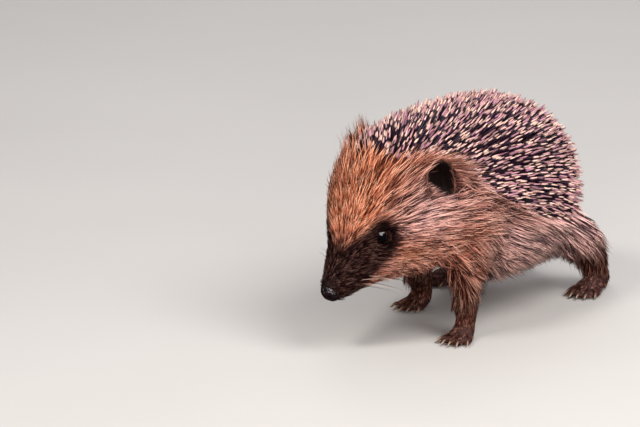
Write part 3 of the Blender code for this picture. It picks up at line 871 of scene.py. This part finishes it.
def grow(name, finish, faces, shares, ground, curves, t, radii, sides, extra):
    """Joins slim tapering bodies along curves (hair, stop, axis) into one piece."""
    count, stops = curves.shape[:2]
    step = unit(np.gradient(curves, axis=1))
    across = unit(np.cross(step, at_roots(skin_normals, faces, shares)[:, None, :]))
    over = np.cross(across, step)
    turns = np.arange(sides) * math.tau / sides + math.pi / 6
    rings = stops - 1
    body = curves[:, :rings, None, :] + radii[:, :rings, None, None] * (
        np.cos(turns)[None, None, :, None] * across[:, :rings, None, :]
        + np.sin(turns)[None, None, :, None] * over[:, :rings, None, :]
    )
    body = np.concatenate([body.reshape(count, rings * sides, 3), curves[:, -1:, :]], 1)
    size = rings * sides + 1
    corners, map_u, map_v = [], [], []
    for k in range(rings - 1):
        for s in range(sides):
            n = (s + 1) % sides
            a, b, c, d = k * sides + s, k * sides + n, (k + 1) * sides + n, (k + 1) * sides + s
            corners += [a, b, c, a, c, d]
            map_u += [s, s + 1, s + 1, s, s + 1, s]
            map_v += [t[k], t[k], t[k + 1], t[k], t[k + 1], t[k + 1]]
    for s in range(sides):
        corners += [(rings - 1) * sides + s, (rings - 1) * sides + (s + 1) % sides, size - 1]
        map_u += [s, s + 1, s + 0.5]
        map_v += [t[rings - 1], t[rings - 1], 1]
    for s in range(1, sides - 1):
        corners += [0, s + 1, s]
        map_u += [0, s + 1, s]
        map_v += [0, 0, 0.02]
    corners = np.array(corners)
    mesh = bpy.data.meshes.new(name)
    mesh.vertices.add(count * size)
    mesh.vertices.foreach_set("co", body.astype(np.float32).ravel())
    mesh.loops.add(count * len(corners))
    mesh.loops.foreach_set(
        "vertex_index", (corners[None] + (np.arange(count) * size)[:, None]).astype(np.int32).ravel()
    )
    mesh.polygons.add(count * len(corners) // 3)
    mesh.polygons.foreach_set("loop_start", np.arange(0, count * len(corners), 3, dtype=np.int32))
    mesh.update(calc_edges=True)
    place = patches(faces, shares, ground)
    inside = np.stack([np.array(map_u) / sides, np.array(map_v)], 1) * 0.9 + 0.05
    flat = place[:, None, :] + inside[None] * PATCH
    mesh.uv_layers.new(name="OFBake").data.foreach_set("uv", flat.astype(np.float32).ravel())
    t_all = np.concatenate([np.repeat(t[:rings], sides), [1.0]])
    write(mesh, "along", np.tile(t_all, count))
    for key, values in extra.items():
        write(mesh, key, np.repeat(values, size))
    mesh.materials.append(finish.material)
    piece = bpy.data.objects.new(name, mesh)
    bpy.context.scene.collection.objects.link(piece)
    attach(piece, "root")
    return piece


# ======================================================================== quills
# Stiff hollow spines over the back, cream with a dark band below a pale tip. They
# stand up on the crown and lie back more and more towards the rump.
horn = Finish("quill_horn", Roughness=0.42, Specular_IOR_Level=0.45)
along = horn.attribute("along")
odd = horn.attribute("shade")
reach = along + odd * 0.10
pale_tip = horn.mix(linear(234, 194, 176), linear(184, 130, 148), odd.ramp(0.3, 0.9))
tone = horn.mix(linear(188, 134, 130), linear(38, 18, 38), reach.ramp(0.28, 0.40))
tone = horn.mix(tone, pale_tip, reach.ramp(0.82, 0.88))
tone = horn.mix(tone, linear(190, 130, 108), reach.ramp(0.98, 1.08))
# Painted shade: each quill is darkened by its own random amount, as if it lay deeper in the shade of its
# neighbours.
painted_quill_shade = horn.mix((0.34, 0.28, 0.32), (1.0, 1.0, 1.0), horn.attribute("painted_quill_shade").ramp(0.0, 0.7))
horn.feed("Base Color", horn.mix(tone, painted_quill_shade, 1.0, "MULTIPLY"))
horn.bump(horn.noise(1800.0), 0.05 * MM, 0.5)

QUILL_SPACING, QUILL_THICK = 1.06, 0.34
QUILL_TRIES = 84000  # roots tried, most of which stand too close to another
backs = parts("mantle", "head", "neck", "trunk")
faces, shares = scatter(backs, QUILL_TRIES)
roots = at_roots(points, faces, shares)
normals = unit(at_roots(stand, faces, shares))
ways = swayed(lie(roots, normals, True), normals, 0.16)
y = roots[:, 1] / MM
length = np.interp(y, (-40, -20, 20, 60), (10.5, 12.0, 13.5, 15.0)) * rng.uniform(0.9, 1.08, len(y))
rise = length * 0.55
spines = (roots, ways, normals, length, rise)
ends_ = tips_of(*spines)
near = np.flatnonzero(quilled(ends_) > 0.35 + 0.65 * rng.random(len(roots)))
near = near[~in_front_of_ear(roots[near], ends_[near], 1.25)]
grid, kept = {}, []
for index in near:
    cell = tuple(np.floor(roots[index] / MM / QUILL_SPACING).astype(int))
    found = [
        other for i in (-1, 0, 1) for j in (-1, 0, 1) for k in (-1, 0, 1)
        for other in grid.get((cell[0] + i, cell[1] + j, cell[2] + k), ())
    ]
    if all(np.sum((roots[index] - roots[o]) ** 2) > (QUILL_SPACING * MM) ** 2 for o in found):
        grid.setdefault(cell, []).append(index)
        kept.append(index)
kept = np.array(kept)


def excess_of(rows):
    """How far the quills of these rows stand out of the solid body."""
    return outside(tips_of(*(values[rows] for values in spines)))


proud = rng.uniform(-1.6, 0.8, len(kept))
for _ in range(3):
    rise[kept] = np.clip(rise[kept] - (excess_of(kept) - proud), 1.2, length[kept] * 0.88)
length[kept] -= np.clip(excess_of(kept) - proud, 0, length[kept] * 0.4)
rise[kept] = np.minimum(rise[kept], length[kept] * 0.9)
kept = kept[excess_of(kept) < 1.8]
t = np.array((0, 0.1, 0.3, 0.55, 0.75, 0.88, 0.955, 1.0))
profile = np.array((0.5, 0.8, 1.0, 1.0, 1.0, 0.82, 0.5, 0.0))
for label, rows in (("left", kept[roots[kept, 0] >= 0]), ("right", kept[roots[kept, 0] < 0])):
    curves = curves_of(*(values[rows] for values in spines), t, t + 0.10 * t * (1 - t), 0.5)
    radii = QUILL_THICK * MM * profile[None] * rng.uniform(0.85, 1.12, len(rows))[:, None]
    ground = backs & ((face_middle[:, 0] >= 0) == (label == "left")) & (quilled(face_middle) > 0.05)
    # Each quill gets a random tip colour and a random painted shade.
    extra = {"shade": rng.random(len(rows)), "painted_quill_shade": rng.random(len(rows))}
    piece = grow(f"quills_{label}", horn, faces[rows], shares[rows], ground, curves, t, radii, 5, extra)


# ======================================================================== fur
# Coarse hair over the face, flanks, belly and legs, in loose locks. It is shortest
# on the muzzle and feet and longest in the skirt below the quills.
strand = Finish("hair", Roughness=0.6, Specular_IOR_Level=0.15)
along, odd = strand.attribute("along"), strand.attribute("shade")
root_shade = strand.mix((0.22, 0.20, 0.22), (1.12, 1.1, 1.08), along.ramp(0.0, 0.6))
tone = strand.mix(fur_colour(strand), root_shade, 1.0, "MULTIPLY")
light = along.ramp(0.3, 0.9) * odd.ramp(0.55, 0.8) * (1.0 - strand.attribute("dark") * 0.86)
pale_end = strand.mix(FUR["tip"], FUR["warm_tip"], strand.attribute("warm"))
tone = strand.mix(tone, pale_end, light * (1.0 - strand.attribute("leg") * 0.6) * 0.8)
hair_shade = strand.mix((0.11, 0.09, 0.10), (1.34, 1.3, 1.3), odd.ramp(0.03, 0.72))
strand.feed("Base Color", strand.mix(tone, hair_shade, 1.0, "MULTIPLY"))


CROSS_AN_EAR = 0.0002  # the share of hairs that may hang over the opening of an ear


def coat(
    name, chance, count, thick_, locks, stops=3, scale=1.0, full=(0.55, 1.15), sway=0.10, spare=1.4,
    tight=(0.15, 0.7), streaks=1.7, own=0.5, hang=0.0, stray=3.2, crest=1.4, shades=(0.0, 1.0),
):
    """Grows one piece of fur, thickest where chance is highest.

    thick_ is a hair's thickness and stops its places from root to tip. A lock is of
    so many hairs, drawn together by tight. scale is a hair's length, full how much of
    the coat's depth it rises through, crest how soon, hang its droop and stray how far
    it may stand out of the body. streaks parts light locks from dark ones, own is each
    hair's share of its shade, and shades is their range. spare hairs make up for those
    that are left out.
    """
    wanted, count = count, int(count * spare)
    faces, shares = scatter(chance, count)
    roots = at_roots(points, faces, shares)
    normals = unit(at_roots(stand, faces, shares))
    deep = at_roots(depth, faces, shares)
    part = face_part[faces]
    on_leg = np.isin(part, LEG_PARTS)
    on_ear = shell[faces]
    ways = lie(roots, normals, False) - np.array((0, 0, hang))
    leg = smooth(27, 17, roots[:, 2] / MM) * on_leg
    ways = ways * (1 - leg)[:, None] + np.array((0.0, -0.15, -1.0)) * leg[:, None]
    ways[on_ear] = np.array(UP * 0.93 - AHEAD * 0.30)
    ways = swayed(ways, normals, sway)
    least = 2.0 * np.maximum(at_roots(by_ear, faces, shares), np.isin(part, BODY_PARTS))
    length = (1.3 + 2.35 * np.clip(deep, least, 6.0)) * rng.uniform(0.65, 1.15, count) * scale
    x, y, z = roots.T / MM
    length *= 1 - 0.5 * smooth(42, 54, y) * smooth(30, 18, z) * smooth(16, 8, np.abs(x))
    rise = length * 0.32
    fullness = rng.uniform(*full, count)

    def tips():
        return tips_of(roots, ways, normals, length, rise)

    for _ in range(2):
        excess = outside(tips())
        rise = np.clip(rise - excess - deep * (1 - fullness), length * 0.06, length * 0.8)
    for _ in range(3):
        shorter = np.clip(1 - (outside(tips()) - stray * 0.95) / length, 0.5, 1)
        length, rise = length * shorter, rise * shorter
    from_eye = at_roots(eye_gap, faces, shares)
    sunk = np.clip(0.3 - outside(tips(), hide_tree), 0, 1.5) * smooth(5.0, 7.5, from_eye)
    rise = np.clip(rise + sunk, 0, length * 0.8)
    ends_ = tips()
    stop = np.ones(count)
    crosses = on_ear | (rng.random(count) < CROSS_AN_EAR)
    low_edge = rng.uniform(-3.8, -1.4, count)
    for share in (1.0, 0.8, 0.6, 0.4, 0.2):
        over = in_front_of_ear(roots, roots + (ends_ - roots) * share, 0.94, low_edge) & ~crosses
        stop[over] = share - 0.2
    length, rise = length * np.maximum(stop, 0.1), rise * np.maximum(stop, 0.1)
    ends_ = tips()
    keep = (quilled(ends_ - np.array((0, 0, 0.8 * MM))) < rng.random(count)) & (ends_[:, 2] > 0.2 * MM)
    keep &= (outside(ends_) < stray) & (stop > 0.2)
    rows = np.flatnonzero(keep)[:wanted]
    guides = rows[::locks]
    tree = KDTree(len(guides))
    for index, row in enumerate(guides):
        tree.insert(roots[row], index)
    tree.balance()
    leader = guides[[tree.find(roots[row])[1] for row in rows]]
    t = np.linspace(0, 1, stops)
    hairs = (values[rows] for values in (roots, ways, normals, length, rise))
    curves = curves_of(*hairs, t, 1 - (1 - t) ** crest, 0.2)
    together = rng.uniform(*tight, count)[leader] * (1 - at_roots(by_ear, faces, shares)[rows])
    pull = (ends_[leader] - ends_[rows]) * together[:, None]
    far = np.linalg.norm(pull, axis=1) > 0.5 * length[rows] * MM
    pull[far] = 0
    curves += pull[:, None, :] * (t**2)[None, :, None]
    curves[..., 2] = np.maximum(curves[..., 2], 0.15 * MM)
    radii = thick_ / 2 * MM * np.interp(t, (0, 0.3, 1), (0.8, 1.0, 0.0))[None]
    radii = radii * rng.uniform(0.75, 1.2, len(rows))[:, None]
    radii = radii * np.clip(0.6 + deep[rows] * 0.2, 0.6, 1.2)[:, None]
    shade = rng.random(count)[rows] * own + rng.random(count)[leader] * (1 - own)
    shade = np.interp(0.5 + (shade - 0.5) * streaks, (0, 1), shades)
    shade = shade * (1 - 0.8 * smooth(5.8, 3.2, from_eye[rows]))
    extra = {"shade": shade}
    for key in ("dark", "warm", "pale", "leg"):
        extra[key] = at_roots(marks[key], faces, shares)[rows]
    piece = grow(name, strand, faces[rows], shares[rows], chance > 0.05, curves, t, radii, 3, extra)


BODY_PARTS, LEG_PARTS = those("neck", "trunk", "mantle", "upper_arm"), those("fore_", "hind_", "tail")
shell = triangles[:, 0] >= body_points
left = face_middle[:, 0] >= 0
f_ahead, f_side, f_high = head_axes(face_middle)
open_coat = 1 - quilled(outer[triangles[:, 0]] - np.array((0, 0, 4.5 * MM))) * 0.95
bare_face = smooth(2.3, 2.9, eye_gap[triangles[:, 0]]) * smooth(2.9, 3.7, nose_gap[triangles[:, 0]])
under_cup = np.zeros(len(triangles), bool)
for sign in (1, -1):
    local = in_ear(face_middle, sign)
    under_cup |= (from_ear_middle(local) < 1) & (np.abs(local[:, 1]) < 5)
covered = ~shell * ~under_cup

# The face has a dark undercoat below brighter guard hairs, and a crest on the crown.
head_hair = parts("head", "mantle", "ear_") * covered * smooth(-16, -8, f_ahead) * open_coat * bare_face
head_hair = head_hair * (1 + 1.2 * smooth(10, 26, f_ahead))
for label, here in (("left", f_side >= 0), ("right", f_side < 0)):
    coat(
        f"face_fur_{label}", head_hair * here, 9500, 0.32, 5, full=(0.45, 1.0),
        spare=2.0, shades=(0.0, 0.3),
    )
    coat(
        f"face_guard_{label}", head_hair * here, 4500, 0.33, 3, stops=4, scale=1.25,
        full=(1.0, 1.5), sway=0.08, spare=2.6, tight=(0.1, 0.5), streaks=2.6, own=0.45, crest=2.2,
        shades=(0.1, 1.0),
    )
coat(
    "guard_hair", head_hair * (f_high > -6), 1500, 0.26, 1, scale=1.35, full=(1.4, 2.0),
    sway=0.3, spare=3.0, tight=(0, 0),
)
crown = parts("head", "mantle") * smooth(-5, -1, f_ahead) * smooth(11, 6, f_ahead)
crown = crown * smooth(19, 15, np.abs(f_side)) * (f_high > 6)
coat(
    "crown_tuft", crown, 1300, 0.28, 3, scale=1.45, full=(1.3, 2.0), sway=0.22,
    spare=3.0, tight=(0.1, 0.5), stray=6.0,
)
fringe = parts("head", "lower_jaw", "neck") * smooth(-3, -7, f_high)
fringe = fringe * smooth(-15, -8, f_ahead) * smooth(32, 26, f_ahead)
coat(
    "cheek_fringe", fringe, 1500, 0.3, 3, scale=1.35, full=(1.3, 2.4), sway=0.16,
    spare=3.0, tight=(0.3, 0.8), hang=1.0, stray=5.0,
)
coat("muzzle_fur", parts("snout", "lower_jaw") * bare_face, 9000, 0.30, 4, full=(0.6, 1.5))

# The flanks have the same two layers, longer, down to the belly.
behind_head = np.maximum(smooth(-8, -16, f_ahead), parts("trunk", "upper_arm"))
flank = parts("neck", "trunk", "mantle", "upper_arm", "ear_") * covered * behind_head * open_coat
low_down = face_middle[:, 2] / MM < 17
for label, here in (("left", left), ("right", ~left)):
    side_on = flank * here * ~low_down
    coat(
        f"flank_fur_{label}", side_on, 11500, 0.42, 6, scale=1.1, full=(0.4, 0.95),
        spare=2.4, tight=(0.3, 0.8), shades=(0.0, 0.27),
    )
    coat(
        f"flank_guard_{label}", side_on, 5000, 0.34, 3, stops=4, scale=1.5,
        full=(0.95, 1.35), sway=0.07, spare=4.0, tight=(0.1, 0.5), streaks=3.4, own=0.3, crest=2.6,
        shades=(-0.1, 0.94),
    )
coat(
    "belly_fur", parts("neck", "trunk", "tail") * low_down, 7500, 0.40, 4,
    tight=(0.2, 0.7), streaks=2.4, shades=(0.0, 0.9),
)

# The legs and feet have short dark hair, and the ears a fine down round the cup.
legs = parts("fore_", "hind_") * np.where(parts("_foot"), 0.8, 1.0)
for label, here in (("left", left), ("right", ~left)):
    coat(
        f"leg_fur_{label}", legs * here, 10500, 0.34, 6, scale=1.3, full=(0.6, 1.5),
        tight=(0.3, 0.8),
    )
coat(
    "ear_fur", shell * (marks["ear"][triangles[:, 0]] < 0.6), 2600, 0.2, 3, scale=1.4,
    sway=0.2, shades=(0.0, 0.6),
)


# ======================================================================== whiskers
# Long fine hairs in short rows on each side of the muzzle, dark above and pale
# below, and a few pale ones that trail from the chin.
bristle = Finish("whisker", Roughness=0.4)
bristle.feed("Base Color", bristle.mix(linear(30, 18, 18), linear(196, 168, 152), bristle.attribute("shade")))
whisker_faces, whisker_ways, whisker_shades, whisker_lengths = [], [], [], []
for sign in (1, -1):
    places = [
        (36 - 2.7 * col + 0.6 * row, 5 + 0.8 * col, -5 - 1.4 * row, row, 0.0)
        for row in range(3) for col in range(3)
    ]
    places += [(30 - 1.8 * col, 7.6 + 0.8 * col, -10.2 - 0.6 * col, 3, 1.0) for col in range(6)]
    for ahead_, side_, high_, row, chin in places:
        near, normal, face, _ = hide_tree.find_nearest(on_head(ahead_, side_ * sign, high_))
        way = SIDE * (sign * (0.85 - 0.5 * chin)) - AHEAD * (0.35 + 0.6 * chin) + UP * (0.12 - 0.16 * row)
        whisker_faces.append(face)
        whisker_ways.append(np.array(way.normalized()) + rng.normal(0, 0.08, 3))
        whisker_shades.append(1.0 if chin or rng.random() < 0.35 else 0.0)
        whisker_lengths.append((9.5 + 1.2 * ahead_ % 5) if chin else rng.uniform(12, 17))
faces = np.array(whisker_faces)
shares = np.full((len(faces), 3), 1 / 3)
roots = at_roots(points, faces, shares)
ways, lengths = np.array(whisker_ways), np.array(whisker_lengths)
t = np.linspace(0, 1, 8)
curves = roots[:, None, :] + ways[:, None, :] * (lengths[:, None] * (t - 0.03))[..., None] * MM
curves += np.array((0, 0.6, -1.0)) * (lengths[:, None] * 0.22 * t**2)[..., None] * MM
WHISKER_RADIUS = 0.075
radii = WHISKER_RADIUS * MM * (1 - t**2 * 0.999)[None] * np.ones((len(faces), 1))
extra = {"shade": np.array(whisker_shades)}
ground = parts("snout", "lower_jaw")
whiskers = grow("whiskers", bristle, faces, shares, ground, curves, t, radii, 4, extra)


# ======================================================================== claws
# Five slim curved claws to each foot, dark horn at the root and paler at the tip.
claw_horn = Finish("claw_horn", Roughness=0.3)
paler = claw_horn.attribute("along").ramp(0.3, 1.0)
claw_tone = claw_horn.mix(linear(58, 38, 34), linear(172, 142, 118), paler)
claw_horn.feed("Base Color", claw_horn.mix(claw_tone, linear(84, 56, 46), claw_horn.noise(1200.0) * 0.5))
CLAW_LONG, CLAW_THICK, CLAW_RINGS = 3.9, 0.64, 7
for foot_name, (heel, turn, long_, wide, toe) in FEET.items():
    ahead_ = Matrix.Rotation(-math.radians(turn), 3, "Z") @ Vector((0, -1, 0))
    across_ = Vector((-ahead_.y, ahead_.x, 0))
    palm = long_ - toe
    bm = bmesh.new()
    shares_along = []
    for k in range(5):
        spread = 2 * k / 4 - 1
        base = Vector((*heel, 0))
        root = base + ahead_ * palm * TOES_FROM + across_ * spread * wide * 0.30
        end = base + ahead_ * (long_ - spread * spread * toe * 0.55) + across_ * spread * wide * 0.50
        way = (end - root).normalized()
        ring = bmesh.ops.create_circle(bm, segments=10, radius=1.0)["verts"]
        upright = Matrix((way.cross(Vector((0, 0, 1))), Vector((0, 0, 1)), way)).transposed()
        bmesh.ops.rotate(bm, verts=ring, matrix=upright)
        root_loop = [edge for edge in bm.edges if edge.verts[0] in ring]
        loop, rings = root_loop, [ring]
        for _ in range(CLAW_RINGS - 1):
            new = bmesh.ops.extrude_edge_only(bm, edges=loop)["geom"]
            rings.append([g for g in new if isinstance(g, bmesh.types.BMVert)])
            edges_made = [g for g in new if isinstance(g, bmesh.types.BMEdge)]
            loop = [edge for edge in edges_made if all(v in rings[-1] for v in edge.verts)]
        for step_, verts in enumerate(rings):
            t_ = step_ / (CLAW_RINGS - 1)
            fat = CLAW_THICK * (1 - t_) ** 0.55 * (1 - 0.25 * t_) + 0.05
            height = 1.25 + 0.75 * math.sin(math.pi * t_ * 0.9) - 0.85 * t_**1.5
            at = end - way + way * CLAW_LONG * t_ + Vector((0, 0, height))
            for vert in verts:
                vert.co = (at + Vector((vert.co.x, vert.co.y, vert.co.z * 1.1)) * fat) * MM
                shares_along.append(t_)
        bmesh.ops.edgeloop_fill(bm, edges=root_loop)
        bmesh.ops.edgeloop_fill(bm, edges=loop)
    bmesh.ops.recalc_face_normals(bm, faces=bm.faces)
    claws = piece_from(bm, f"claws_{foot_name}", claw_horn)
    write(claws.data, "along", np.array(shares_along))
    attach(claws, "root")


low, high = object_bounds()
